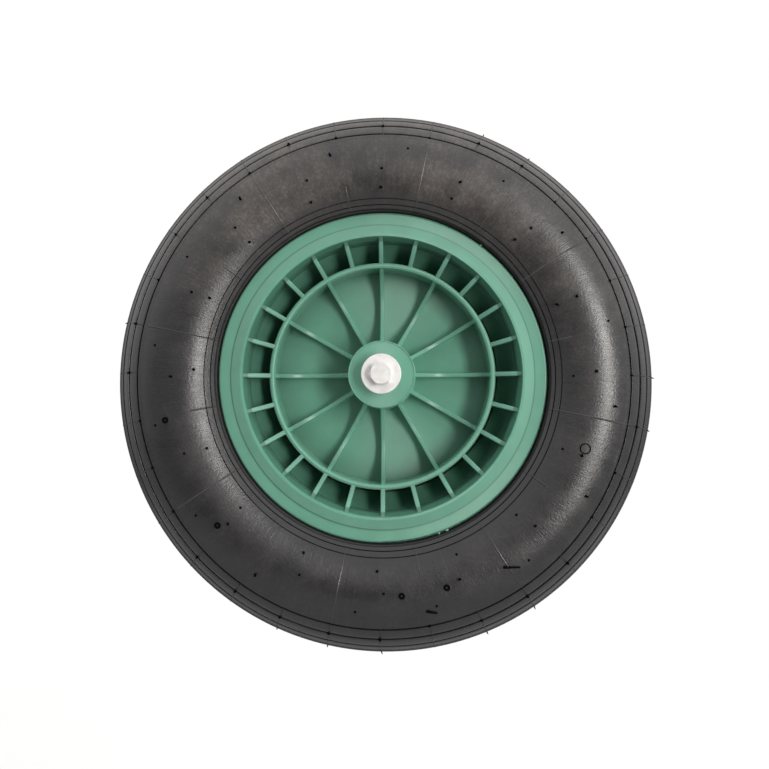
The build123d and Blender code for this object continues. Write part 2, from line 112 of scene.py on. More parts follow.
class WheelStageSettings(bpy.types.PropertyGroup):
    """Studio round the wheel"""

    view_distance: length("View Distance", "Camera to the wheel's centre", 742.0)
    view_right: angle("View Right", "How far the camera stands to the right of the axle", 1.50)
    view_below: angle("View Below", "How far the camera stands below the axle", 1.94)
    aim_right: angle("Aim Right", "Sideways tilt of the camera's picture plane against the wheel", 2.57)
    aim_below: angle("Aim Below", "Upward tilt of the camera's picture plane against the wheel", 7.22)
    view_roll: angle("Roll", "Turn of the camera about its own line of sight", 0.3)
    view_focal: number("Focal Length", "Focal length as a multiple of the picture's width", 1.2653)
    centre_right: number("Centre Right", "Wheel right of the picture's middle, in picture widths", -0.00195)
    centre_up: number("Centre Up", "Wheel above the picture's middle, in picture widths", 0.01098)
    floor_drop: length("Floor Drop", "Floor below the tread", 300.0)
    floor_size: length("Floor Size", "Half the floor's width", 1000.0)
    floor_colour: colour("Floor", "Colour of the floor", (0.25, 0.25, 0.25))
    floor_glow: number("Floor Glow", "Glow that brings the floor up to white for the camera", 0.5)
    floor_mirrored: number("Mirrored Glow", "The floor's glow in reflections", 0.05)
    key_power: number("Key Light", "Power of the key light in watts", 92.0)
    key_colour: colour("Key Colour", "Colour of the lights", (1.0, 0.965, 0.925))
    key_side: angle("Key Side", "Key light's angle from the axle towards the right", 33.0)
    key_height: angle("Key Height", "Key light's angle above the axle", 2.0)
    key_distance: length("Key Distance", "Lights to the wheel's centre", 4000.0)
    key_size: length("Key Width", "Width of the key light", 900.0)
    key_tall: length("Key Tallness", "Height of the key light", 2600.0)
    back_power: number("Back Light", "Power of the light on the rear of the wheel in watts", 92.0)
    back_side: angle("Back Side", "Back light's angle from the axle towards the right", 160.0)
    back_height: angle("Back Height", "Back light's angle above the axle", 18.0)
    back_size: length("Back Size", "Width of the back light", 1000.0)
    side_level: number("Side Light", "Level of the light from all round the wheel's edge", 1.6)
    front_level: number("Front Light", "Level of the light from straight ahead and straight behind", 0.05)
    right_gain: number("Right Gain", "How much stronger the side light is from the right", 0.45)
    upper_gain: number("Upper Gain", "How much stronger the side light is from above", 0.55)
    front_edge: number("Front Edge", "Where the side light begins to end, as a cosine to the axle", 0.45)
    front_blend: number("Front Blend", "How softly the side light ends", 0.3)
    side_low: number("Low Side", "Brightness of the lower sides in reflections", 0.2)
    side_high: number("High Side", "Brightness of the upper sides in reflections", 1.0)
    front_low: number("Low Room", "Brightness of the lower room ahead and behind in reflections", 0.04)
    front_high: number("High Room", "Brightness of the upper room ahead and behind in reflections", 0.85)


class WheelTyreSettings(bpy.types.PropertyGroup):
    """Sizes of the tyre"""

    outer_radius: length("Outer Radius", "Axle to the middle of the tread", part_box("tyre")[1][0] / MM)
    section_radius: length("Section Radius", "Radius of the tyre's round section", 48.5)
    groove_count: count("Grooves", "Grooves round the tread", 11)
    groove_pitch: angle("Groove Pitch", "Angle between grooves, round the section", 11.65)
    groove_width: length("Groove Width", "Width of a groove", 1.8)
    groove_depth: length("Groove Depth", "Depth of a groove", 1.3)
    rib_round: length("Rib Rounding", "Rounding of the tread ribs' edges", 0.3)
    seat_radius: length("Bead Seat", "Radius of the bead's base", 102.05)
    seat_half: length("Seat Half Width", "Middle plane to the bead's outer side", 31.7)
    bead_width: length("Bead Width", "Width of the bead's base", 12.4)
    toe_height: length("Bead Toe", "Height of the bead's inner edge", 1.5)
    heel_round: length("Bead Heel", "Slope of the bead's outer corner", 1.2)
    neck_wall: length("Bead Neck", "Wall above the bead", 5.0)
    flange_radius: length("Flange Radius", "Radius of the rim's flange", 119.0)
    flange_round: length("Flange Rounding", "Rounding of the rim's flange", 1.55)
    foot_radius: length("Sidewall Foot", "Radius where the sidewall ends above the flange", 121.4)
    inner_step_radius: length("Inner Step", "Radius of the step next to the flange", 123.5)
    outer_step_radius: length("Outer Step", "Radius of the step at the foot of the sidewall", 127.8)
    step_height: length("Step Height", "Height of each step", 0.7)
    bead_groove: length("Step Groove", "Width and depth of the groove beside each step", 0.75)
    tread_lip: length("Tread Lip", "Height of the lip where the tread meets the sidewall", 0.45)
    cavity_radius: length("Cavity Radius", "Radius of the round space for the tube", 43.9)
    cavity_centre: length("Cavity Centre", "Axle to the middle of that space", 147.1)
    cavity_foot: length("Cavity Foot", "Radius where that space meets the bead", 128.6)
    steps: count("Steps", "Steps of the mesh round the wheel", 240)


class WheelMouldSettings(bpy.types.PropertyGroup):
    """Marks that the mould leaves on the tyre"""

    first_line: angle("First Line", "Angle of the first long mould line round the wheel", 33.0)
    line_count: count("Mould Lines", "Long mould lines on each side", 8)
    line_width: length("Line Width", "Width of a mould line", 1.6)
    line_height: length("Line Height", "Height of a mould line", 0.25)
    line_root: length("Line Root", "Depth of a mould line's root in the rubber", 0.05)
    long_end: angle("Long End", "Outer end of a long line, round the section", 63.0)
    short_end: angle("Short End", "Outer end of a short line, round the section", 105.5)
    line_start: angle("Line Start", "Inner end of the lines on the sidewall, round the section", 118.6)
    band_start: angle("Band Start", "Inner end of the lines on the outer step, round the section", 124.2)
    foot_start: angle("Foot Start", "Inner end of the lines on the inner step, round the section", 126.9)
    seam_count: count("Tread Seams", "Seams across the tread", 32)
    seam_width: length("Seam Width", "Width of a tread seam", 2.2)
    seam_height: length("Seam Height", "Height of a tread seam", 0.4)
    seam_end: angle("Seam End", "End of a tread seam, round the section", 59.5)
    stub_radius: length("Vent Stub", "Radius of a vent stub", 1.0)
    stub_height: length("Stub Height", "Height of a vent stub", 2.0)
    hair_radius: length("Vent Hair", "Radius of a vent hair on the tread", 0.75)
    hair_length: length("Hair Length", "Length of a vent hair on the tread", 2.4)
    ring_radius: length("Vent Ring", "Radius of a ring mark", 1.55)
    ring_wire: length("Ring Height", "Height of a ring mark", 0.9)
    wide_radius: length("Wide Ring", "Radius of a wide ring mark", 3.5)
    wide_wire: length("Wide Ring Height", "Height of a wide ring mark", 0.45)


class WheelAxleSettings(bpy.types.PropertyGroup):
    """Sizes of the axle bolt"""

    shank_radius: length("Shank", "Radius of the bolt", 5.0)
    neck_radius: length("Neck", "Radius of the bolt inside the nut", 4.51)
    head_width: length("Head Width", "Width of the head across flats", 15.0)
    head_height: length("Head Height", "Height of the head", 6.4)
    head_turn: angle("Head Turn", "Angle of the head's first corner", 9.0)
    washer_face: length("Washer Face", "Middle plane to the outer face of a washer", 51.5)
    thread_start: length("Thread Start", "Middle plane to the free thread's start", 63.7)
    thread_end: length("Thread End", "Middle plane to the bolt's end", 78.5)
    thread_pitch: length("Thread Pitch", "Rise of the thread in one turn", 1.5)
    thread_depth: length("Thread Depth", "Depth of the thread", 0.9)
    end_chamfer: length("End Chamfer", "Chamfer of the bolt's end", 1.0)


class WheelValveSettings(bpy.types.PropertyGroup):
    """Sizes of the valve"""

    place_radius: length("Place Radius", "Axle to the valve's middle", 93.0)
    place_turn: angle("Place Angle", "Angle of the valve round the wheel", 97.5)
    tube_start: length("Tube Start", "Inner end of the brass tube", 12.05)
    tube_radius: length("Tube Radius", "Radius of the brass tube inside the stem", 3.0)
    thread_start: length("Thread Start", "Start of the cap's thread", 31.05)
    thread_end: length("Thread End", "Outer end of the brass tube", 42.0)
    thread_radius: length("Thread Radius", "Radius of the cap's thread", 3.85)
    thread_depth: length("Thread Depth", "Depth of the cap's thread", 0.42)
    thread_pitch: length("Thread Pitch", "Rise of the cap's thread in one turn", 0.79)
    head_bore: length("Head Bore", "Bore for the core's head", 2.75)
    head_floor: length("Head Floor", "Bottom of the bore for the core's head", 36.95)
    core_bore: length("Core Bore", "Bore for the core", 2.45)
    core_floor: length("Core Floor", "Bottom of the bore for the core", 20.0)
    air_bore: length("Air Bore", "Bore for the air", 1.4)
    spring_start: length("Spring Start", "Fixed end of the spring", 29.6)
    spring_end: length("Spring End", "Moving end of the spring", 37.95)
    spring_radius: length("Spring Radius", "Radius of the spring's coil", 1.2)
    spring_wire: length("Spring Wire", "Radius of the spring's wire", 0.2)
    spring_turns: count("Spring Turns", "Turns of the spring", 6)
    pin_travel: length("Pin Travel", "How far the pin is pressed in", 1.2)


class WheelFinishSettings(bpy.types.PropertyGroup):
    """Colours of the finishes"""

    rim_green: colour("Rim", "Green of the moulded rim", (0.132, 0.350, 0.250))
    tyre_black: colour("Tyre", "Black of the tyre", (0.011, 0.011, 0.0135))
    # Also serves as painted light from above, laid on thicker towards the top of the tyre
    tyre_bloom_and_top_light: colour("Tyre Bloom", "Dusty grey on the tyre's sidewalls", (0.168, 0.146, 0.130))
    # Darker than the tyre's black: painted shade on the vents' stubs, hairs and ring marks
    vent_black: colour("Vents", "Black of the vents' stubs", (0.003, 0.003, 0.0033))
    tube_black: colour("Tube", "Black of the tube and the valve's rubber", (0.022, 0.022, 0.023))
    cap_black: colour("Cap", "Black of the valve cap", (0.016, 0.016, 0.017))
    nylon_white: colour("Nylon", "White of the bushes and of the nut's ring", (0.72, 0.71, 0.66))
    zinc_grey: colour("Zinc", "Zinc plating", (0.86, 0.85, 0.83))
    steel_grey: colour("Steel", "Drawn steel", (0.46, 0.46, 0.47))
    brass_yellow: colour("Brass", "Machined brass", (0.66, 0.49, 0.22))


# Drawing with bmesh operators

class Outline:
    """A section drawn with bmesh operators: x is the distance from the axis, and y runs along it."""

    def __init__(self, work, x, y):
        self.work = work
        self.first = self.tip = bmesh.ops.create_vert(work, co=(x, y, 0.0))["vert"][0]

    def line(self, x, y):
        """Straight to a point."""
        self.tip = bmesh.ops.extrude_vert_indiv(self.work, verts=[self.tip])["verts"][0]
        self.tip.co = (x, y, 0.0)
        return self.tip

    def arc(self, x, y, turn, steps):
        """Round a centre by an angle."""
        made = bmesh.ops.spin(
            self.work, geom=[self.tip], cent=(x, y, 0.0), axis=(0.0, 0.0, 1.0), angle=turn, steps=steps)
        self.tip = next(part for part in made["geom_last"] if isinstance(part, bmesh.types.BMVert))
        return self.tip

    def close(self):
        """Back to the first point."""
        bmesh.ops.contextual_create(self.work, geom=[self.tip, self.first])


def revolve(work, steps):
    """Spin the whole drawing once round the Y axis."""
    bmesh.ops.spin(
        work, geom=work.verts[:] + work.edges[:], cent=(0.0, 0.0, 0.0), axis=(0.0, 1.0, 0.0),
        angle=TURN, steps=steps, use_merge=True)


def screw(work, turns, steps, rise):
    """Spin the whole drawing round the Y axis, with a rise in each turn."""
    bmesh.ops.spin(
        work, geom=work.verts[:] + work.edges[:], cent=(0.0, 0.0, 0.0), axis=(0.0, 1.0, 0.0),
        angle=TURN * turns, steps=steps * turns, dvec=(0.0, rise / steps, 0.0))


def join(work, drawing):
    """Add one drawing to another."""
    mesh = bpy.data.meshes.new("joined")
    drawing.to_mesh(mesh)
    drawing.free()
    work.from_mesh(mesh)
    bpy.data.meshes.remove(mesh)


def close_ends(work):
    """Cover every open edge loop with a face."""
    bmesh.ops.holes_fill(work, edges=[edge for edge in work.edges if edge.is_boundary], sides=0)


def helix_thread(work, crest, depth, start, end, pitch, steps):
    """A thread round the Y axis: one tooth, spun with a rise, and trimmed square at both ends."""
    root = crest - depth
    tooth = Outline(work, root, start - pitch)
    tooth.line(root, start - pitch * 3 / 4)
    tooth.line(crest, start - pitch * 7 / 16)
    tooth.line(crest, start - pitch * 5 / 16)
    tooth.line(root, start)
    screw(work, math.ceil((end - start) / pitch) + 1, steps, pitch)
    bmesh.ops.remove_doubles(work, verts=work.verts, dist=MERGE_DISTANCE)
    for place, below in ((start, True), (end, False)):
        bmesh.ops.bisect_plane(
            work, geom=work.verts[:] + work.edges[:] + work.faces[:], dist=MERGE_DISTANCE / 10,
            plane_co=(0.0, place, 0.0), plane_no=(0.0, 1.0, 0.0), clear_inner=below, clear_outer=not below)


def turned(turn):
    """Matrix that turns something at +X to an angle round the wheel."""
    return Matrix.Rotation(-turn, 4, "Y")


def piece(name, work, body, slot, finish, *nodes, sharp=35.0):
    """Make a finished drawing a piece that rides on a body, and that may stand for CAD nodes."""
    bmesh.ops.remove_doubles(work, verts=work.verts, dist=MERGE_DISTANCE)
    bmesh.ops.recalc_face_normals(work, faces=work.faces)
    mesh = bpy.data.meshes.new(name)
    work.to_mesh(mesh)
    work.free()
    mesh.shade_smooth()
    mesh.set_sharp_from_angle(angle=math.radians(sharp))
    mesh.materials.append(finish)
    made = bpy.data.objects.new(name, mesh)
    bpy.context.scene.collection.objects.link(made)
    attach(made, body)
    if nodes:
        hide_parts(*nodes)
    return made


def give(finish, *nodes):
    """Give CAD nodes a finish."""
    for node in nodes:
        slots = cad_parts[node].data.materials
        slots.clear()
        slots.append(finish)


# Materials

def put(tree, kind, inputs=None, **settings):
    """Add a node, and link or set its inputs by name or number."""
    node = tree.nodes.new(kind)
    for key, value in settings.items():
        setattr(node, key, value)
    for key, value in (inputs or {}).items():
        if isinstance(value, bpy.types.NodeSocket):
            tree.links.new(value, node.inputs[key])
        else:
            node.inputs[key].default_value = value
    return node


def remap(tree, value, low, high, from_low=0.0, from_high=1.0):
    """A value brought from one range to another."""
    return put(tree, "ShaderNodeMapRange", {
        "Value": value, "From Min": from_low, "From Max": from_high,
        "To Min": low, "To Max": high}).outputs["Result"]


def mix(tree, factor, first, second):
    """Two colours mixed."""
    return put(tree, "ShaderNodeMix", {0: factor, 6: first, 7: second}, data_type="RGBA").outputs[2]


def between(tree, factor, first, second):
    """A number between two others."""
    return put(tree, "ShaderNodeMix", {0: factor, 2: first, 3: second}).outputs[0]


def calculate(tree, operation, first, *others):
    """Numbers put together one after another."""
    for other in others or (0.0,):
        first = put(tree, "ShaderNodeMath", {0: first, 1: other}, operation=operation).outputs[0]
    return first


def times(tree, *values):
    """Numbers multiplied."""
    return calculate(tree, "MULTIPLY", *values)


def plus(tree, *values):
    """Numbers added up."""
    return calculate(tree, "ADD", *values)


def scaled(value, factor=1.0):
    """A colour made lighter or darker, for a colour socket."""
    return tuple(min(1.0, part * factor) for part in value[:3]) + (1.0,)


def vector(tree, operation, inputs):
    """A vector worked out from others."""
    return put(tree, "ShaderNodeVectorMath", inputs, operation=operation).outputs[0]


def from_axle(tree, place):
    """The part of a place that lies across the axle, and its length."""
    flat = vector(tree, "MULTIPLY", {0: place, 1: (1.0, 0.0, 1.0)})
    return flat, put(tree, "ShaderNodeVectorMath", {0: flat}, operation="LENGTH").outputs["Value"]


def effect_group(name, inputs, outputs):
    """An empty node group with named inputs and outputs."""
    tree = bpy.data.node_groups.new(name, "ShaderNodeTree")
    for label, kind in inputs:
        tree.interface.new_socket(label, in_out="INPUT", socket_type=kind)
    for label in outputs:
        tree.interface.new_socket(label, in_out="OUTPUT", socket_type="NodeSocketFloat")
    return tree, tree.nodes.new("NodeGroupInput").outputs, tree.nodes.new("NodeGroupOutput").inputs


def blotches_group():
    """Soft blotches of any size."""
    if "Blotches" in bpy.data.node_groups:
        return bpy.data.node_groups["Blotches"]
    tree, given, out = effect_group(
        "Blotches", (("Vector", "NodeSocketVector"), ("Scale", "NodeSocketFloat")), ("Mask",))
    noise = put(tree, "ShaderNodeTexNoise", {
        "Vector": given["Vector"], "Scale": given["Scale"], "Detail": 4.0, "Roughness": 0.55})
    tree.links.new(remap(tree, noise.outputs["Fac"], 0.0, 1.0, 0.32, 0.68), out["Mask"])
    return tree


def turned_lines_group():
    """Lines about the axle: along the radius where Around is high, or in rings where Along is high."""
    if "Turned Lines" in bpy.data.node_groups:
        return bpy.data.node_groups["Turned Lines"]
    tree, given, out = effect_group(
        "Turned Lines",
        (("Vector", "NodeSocketVector"), ("Around", "NodeSocketFloat"), ("Along", "NodeSocketFloat")), ("Mask",))
    flat, radius = from_axle(tree, given["Vector"])
    spoke = vector(tree, "NORMALIZE", {0: flat})
    around = vector(tree, "SCALE", {0: spoke, "Scale": given["Around"]})
    along = put(tree, "ShaderNodeCombineXYZ", {"Y": times(tree, radius, given["Along"])}).outputs[0]
    place = vector(tree, "ADD", {0: around, 1: along})
    noise = put(tree, "ShaderNodeTexNoise", {"Vector": place, "Scale": 1.0, "Detail": 2.0})
    tree.links.new(remap(tree, noise.outputs["Fac"], 0.0, 1.0, 0.3, 0.7), out["Mask"])
    return tree


def grain_group():
    """Fine grain of a moulded or plated surface."""
    if "Grain" in bpy.data.node_groups:
        return bpy.data.node_groups["Grain"]
    tree, given, out = effect_group(
        "Grain", (("Vector", "NodeSocketVector"), ("Scale", "NodeSocketFloat")), ("Height",))
    noise = put(tree, "ShaderNodeTexNoise", {
        "Vector": given["Vector"], "Scale": given["Scale"], "Detail": 1.5, "Roughness": 0.6})
    tree.links.new(noise.outputs["Fac"], out["Height"])
    return tree


class Finish:
    """A material under way: its tree, its shader and the object's own coordinates."""

    def __init__(self, name, constants=None):
        self.material = bpy.data.materials.new(name)
        self.material.use_nodes = True
        self.tree = self.material.node_tree
        self.shader = self.tree.nodes["Principled BSDF"]
        for socket, value in (constants or {}).items():
            self.shader.inputs[socket].default_value = value
        self.place = put(self.tree, "ShaderNodeTexCoord").outputs["Object"]

    def effect(self, group, **inputs):
        """Mask or height from a shared node group."""
        node = put(self.tree, "ShaderNodeGroup", node_tree=group)
        self.tree.links.new(self.place, node.inputs["Vector"])
        for key, value in inputs.items():
            node.inputs[key.title()].default_value = value
        return node.outputs[0]

    def blotches(self, scale):
        """Mask of soft blotches."""
        return self.effect(blotches_group(), scale=scale)

    def lines(self, around, along):
        """Mask of lines about the axle."""
        return self.effect(turned_lines_group(), around=around, along=along)

    def grain(self, scale):
        """Height of a fine grain."""
        return self.effect(grain_group(), scale=scale)

    def along(self, axis):
        """Place along one of the object's axes."""
        return put(self.tree, "ShaderNodeSeparateXYZ", {0: self.place}).outputs[axis]

    def radius(self):
        """Distance from the axle."""
        return from_axle(self.tree, self.place)[1]

    def set(self, socket, value):
        """Link a value that changes over the surface to the shader."""
        self.tree.links.new(value, self.shader.inputs[socket])

    def bump(self, height, strength, distance):
        """Raise the surface by a height."""
        node = put(self.tree, "ShaderNodeBump", {"Height": height, "Strength": strength, "Distance": distance})
        self.set("Normal", node.outputs["Normal"])


def plain_finish(
        name, base, roughness, metallic=0.0, specular=0.5, blotch=30.0, spread=0.12, grain=1500.0, relief=0.06):
    """Finish of a simple piece: mottled colour, uneven gloss and fine grain."""
    finish = Finish(name, {"Metallic": metallic, "Specular IOR Level": specular})
    mask = finish.blotches(blotch)
    finish.set("Base Color", mix(finish.tree, mask, scaled(base, 1.0 - spread), scaled(base, 1.0 + spread)))
    finish.set("Roughness", remap(finish.tree, mask, roughness * 0.88, roughness * 1.12))
    finish.bump(finish.grain(grain), relief, 0.2 * MM)
    return finish.material


# Where painted shade darkens the rim's colour, in the pockets, on the lip's inner face, on the dish floor between
# the spokes and along the step: radii and distances from the middle plane, each from a start to an end, in metres
POCKET_SHADE_RADIUS = 0.0815, 0.0830
POCKET_SHADE_DEPTH = 0.024, 0.034
WALL_SHADE_INSIDE = 0.0970, 0.0978
WALL_SHADE_OUTSIDE = 0.1011, 0.1016
WALL_SHADE_DEPTH = 0.0366, 0.0384
WEB_SHADE_RADIUS = 0.060, 0.0775
WEB_SHADE_DEPTH = 0.0185, 0.0225
STEP_SHADE_RADIUS = 0.1099
STEP_SHADE_EDGE = 0.0002, 0.0007


def rim_finish(colours):
    """Green moulded plastic with flow marks and a finely brushed, silky surface, with painted shade in the hollows
    and along the step.
    """
    finish = Finish("rim_green", {"Anisotropic": 0.88, "Specular IOR Level": 0.72})
    tree = finish.tree
    green = colours.rim_green
    small = finish.blotches(70.0)
    brushed = finish.lines(around=150.0, along=45.0)
    base = mix(tree, finish.blotches(13.0), scaled(green, 0.9), scaled(green, 1.08))
    base = mix(tree, times(tree, small, 0.5), base, scaled(green, 1.16))

    radius = finish.radius()
    depth = calculate(tree, "ABSOLUTE", finish.along("Y"))
    # Painted shade: the colour drops to a fifth of the green in the pockets, on the lip's inner face and on the
    # dish floor between the spokes, where shade falls in the hollows.
    pocket_shade = times(
        tree, remap(tree, radius, 0.0, 0.5, *POCKET_SHADE_RADIUS), remap(tree, depth, 1.0, 0.0, *POCKET_SHADE_DEPTH))
    wall_shade = times(
        tree, remap(tree, radius, 0.0, 0.62, *WALL_SHADE_INSIDE), remap(tree, depth, 1.0, 0.0, *WALL_SHADE_DEPTH),
        remap(tree, radius, 1.0, 0.0, *WALL_SHADE_OUTSIDE))
    web_shade = times(tree, remap(tree, radius, 0.0, 0.38, *WEB_SHADE_RADIUS), remap(tree, depth, 1.0, 0.0, *WEB_SHADE_DEPTH))
    base = mix(tree, calculate(tree, "MAXIMUM", pocket_shade, wall_shade, web_shade), base, scaled(green, 0.2))
    # Painted shade: a thin dark line along the step on the rim's face.
    line = calculate(tree, "ABSOLUTE", calculate(tree, "SUBTRACT", radius, STEP_SHADE_RADIUS))
    base = mix(tree, remap(tree, line, 0.45, 0.0, *STEP_SHADE_EDGE), base, scaled(green, 0.3))

    finish.set("Base Color", base)
    finish.set("Roughness", remap(tree, plus(tree, small, brushed), 0.32, 0.42, 0.0, 2.0))
    finish.bump(plus(tree, finish.grain(1800.0), brushed), 0.05, 0.2 * MM)
    axle = put(tree, "ShaderNodeCombineXYZ", {"Y": 1.0}).outputs[0]
    around = vector(tree, "CROSS_PRODUCT", {0: axle, 1: finish.place})
    finish.set("Tangent", vector(tree, "NORMALIZE", {0: around}))
    return finish.material


# Where the rubber changes: radii and heights, each from a start to an end, in metres. The heights make painted
# light from above, and the bead's radii painted shade in the gap at the flange.
BLOOM_INSIDE = 0.128, 0.139
BLOOM_OUTSIDE = 0.148, 0.164
# Heights over which the bloom grows towards the top: painted light from above
TOP_LIGHT_HEIGHT = 0.03, 0.15
# Radii inside which the rubber turns near black: painted shade in the gap at the flange
BEAD_SHADE_END = 0.1201, 0.1212
# How far a surface turns from the eye before its gloss goes and its grain flattens, from 0 to 1
DULL_EDGE = 0.7, 0.93
FLAT_EDGE = 0.6, 0.9


def tyre_finish(colours):
    """Black rubber: dust bloom, laid on thicker towards the top as painted light from above, faint radial streaks,
    and painted shade that darkens the dull rubber at the bead.
    """
    finish = Finish("tyre_rubber", {"Specular IOR Level": 0.68})
    tree = finish.tree
    small = finish.blotches(75.0)
    streaks = finish.lines(around=380.0, along=55.0)
    specks = remap(tree, finish.blotches(420.0), 0.0, 1.0, 0.45, 0.9)
    radius = finish.radius()
    edge = put(tree, "ShaderNodeLayerWeight", {"Blend": 0.5}).outputs["Facing"]
    bead = remap(tree, radius, 1.0, 0.0, *BEAD_SHADE_END)
    band = times(tree, remap(tree, radius, 0.0, 1.0, *BLOOM_INSIDE), remap(tree, radius, 1.0, 0.25, *BLOOM_OUTSIDE))
    # Bloom made stronger towards the top: painted light from above, laid on the dust.
    wide = times(
        tree, remap(tree, finish.blotches(9.0), 0.35, 1.0), remap(tree, finish.along("Z"), 0.3, 1.5, *TOP_LIGHT_HEIGHT),
        remap(tree, band, 0.5, 1.0))
    dust_and_top_light = times(
        tree, wide, remap(tree, small, 0.45, 1.0), remap(tree, streaks, 0.6, 1.0), remap(tree, specks, 0.6, 1.0))

    base = mix(tree, dust_and_top_light, scaled(colours.tyre_black), scaled(colours.tyre_bloom_and_top_light))
    # Painted shade: near the bead the colour drops to a tenth of the black, for the dark gap at the flange.
    finish.set("Base Color", mix(tree, bead, base, scaled(colours.tyre_black, 0.1)))
    finish.set("Roughness", plus(
        tree, times(tree, small, 0.10), times(tree, streaks, 0.05), times(tree, wide, 0.08),
        times(tree, bead, 0.8), remap(tree, edge, 0.23, 0.85, *DULL_EDGE)))
    height = plus(tree, times(tree, streaks, 0.3), times(tree, small, 0.5), finish.grain(560.0))
    finish.bump(height, remap(tree, edge, 0.35, 0.03, *FLAT_EDGE), 0.35 * MM)
    return finish.material


def zinc_finish(colours):
    """Bright zinc with faint turned rings."""
    finish = Finish("zinc_plate", {"Metallic": 0.85})
    tree = finish.tree
    zinc = colours.zinc_grey
    rings = finish.lines(around=3.0, along=2600.0)
    cloud = finish.blotches(220.0)
    base = mix(tree, cloud, scaled(zinc, 0.9), scaled(zinc, 1.06))
    finish.set("Base Color", mix(tree, times(tree, rings, 0.3), base, scaled(zinc, 0.84)))
    finish.set("Roughness", remap(tree, plus(tree, rings, cloud), 0.48, 0.64, 0.0, 2.0))
    finish.bump(plus(tree, rings, finish.grain(2600.0)), 0.08, 0.12 * MM)
    return finish.material


# Places

def outward(right, up):
    """Direction from the wheel's centre to a point that far to the right of the front axle end and above it."""
    return Vector((math.sin(right) * math.cos(up), -math.cos(right) * math.cos(up), math.sin(up)))


def section_centre(tyre):
    """Axle to the middle of the tyre's round section."""
    return tyre.outer_radius - tyre.section_radius


def on_tyre(tyre, turn, slope, lift=0.0):
    """Matrix that stands something on the tyre: at an angle round the wheel and one round the section."""
    centre = section_centre(tyre)
    reach = tyre.section_radius + lift
    place = Matrix.Translation((centre + reach * math.cos(slope), -reach * math.sin(slope), 0.0))
    return turned(turn) @ place @ Matrix.Rotation(-slope, 4, "Z") @ Matrix.Rotation(TURN / 4, 4, "Y")


def raised_line(work, tyre, turn, start, end, width, height, root, lift=0.0):
    """A thin ridge that follows the tyre's section at an angle round the wheel."""
    centre = section_centre(tyre)
    top = tyre.section_radius + lift + height
    shrink = (tyre.section_radius + lift - root) / top
    drawing = bmesh.new()
    crest = Outline(drawing, centre + top * math.cos(start), -top * math.sin(start))
    crest.arc(centre, 0.0, start - end, max(3, round(abs(end - start) / LINE_STEP)))
    edges = drawing.edges[:]
    half = width / 2 / (centre + top * math.cos((start + end) / 2))
    feet = []
    for side in (-half, half):
        made = bmesh.ops.extrude_edge_only(drawing, edges=edges)["geom"]
        verts = [part for part in made if isinstance(part, bmesh.types.BMVert)]
        bmesh.ops.scale(
            drawing, verts=verts, vec=(shrink, shrink, 1.0), space=Matrix.Translation((-centre, 0.0, 0.0)))
        bmesh.ops.rotate(drawing, verts=verts, cent=(0, 0, 0), matrix=Matrix.Rotation(side, 3, "Y"))
        feet += [edge for edge in drawing.edges if all(vert in verts for vert in edge.verts)]
    bmesh.ops.bridge_loops(drawing, edges=feet)
    close_ends(drawing)
    bmesh.ops.transform(drawing, verts=drawing.verts, matrix=turned(turn))
    join(work, drawing)


# Operators

